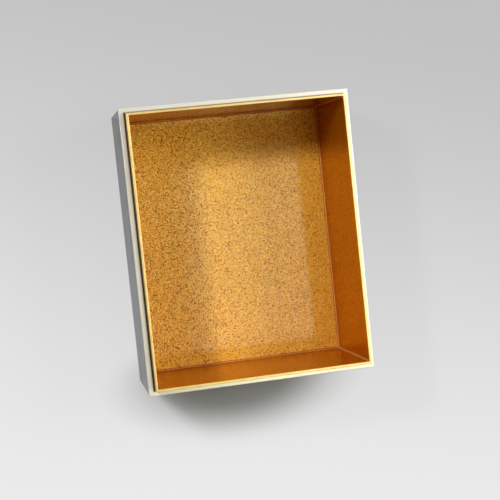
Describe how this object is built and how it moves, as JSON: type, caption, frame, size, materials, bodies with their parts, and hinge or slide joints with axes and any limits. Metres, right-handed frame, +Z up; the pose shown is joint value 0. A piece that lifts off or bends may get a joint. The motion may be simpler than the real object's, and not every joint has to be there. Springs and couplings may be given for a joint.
{
  "type": "lacquer paper box",
  "caption": "Open rectangular lacquered wooden box for writing paper, gold-flake lining boards standing up as a gilt lip inside a metal rim that seats a flush lid.",
  "frame": {"origin": "middle of the footprint, on the surface that the box stands on", "axes": "+X right, +Y along the length towards the back, +Z up out of the open mouth"},
  "size_m": [0.3306, 0.4066, 0.171],
  "materials": {
    "gold_flake_floor": "gold flakes under polished amber lacquer",
    "gold_flake_lining": "gold flakes under polished amber lacquer, gilt lip",
    "amber_filler": "lacquer filler, polished",
    "black_lacquer": "polished black lacquer",
    "pale_metal": "soft polished pale metal",
    "bare_wood": "planed bare wood",
    "bamboo": "split bamboo"
  },
  "bodies": {
    "root": {"bottom_board": "gold_flake_floor", "bottom_pegs": "bamboo", "wall_front": "black_lacquer", "wall_right": "black_lacquer", "wall_back": "black_lacquer", "wall_left": "black_lacquer", "spline_front_right": "bare_wood", "spline_back_right": "bare_wood", "spline_back_left": "bare_wood", "spline_front_left": "bare_wood", "lining_front": "gold_flake_lining", "lining_right": "gold_flake_lining", "lining_back": "gold_flake_lining", "lining_left": "gold_flake_lining", "rim_front": "pale_metal", "rim_right": "pale_metal", "rim_back": "pale_metal", "rim_left": "pale_metal", "floor_cove_front": "amber_filler", "floor_cove_right": "amber_filler", "floor_cove_back": "amber_filler", "floor_cove_left": "amber_filler", "corner_cove_front_right": "amber_filler", "corner_cove_back_right": "amber_filler", "corner_cove_back_left": "amber_filler", "corner_cove_front_left": "amber_filler"}
  },
  "joints": []
}
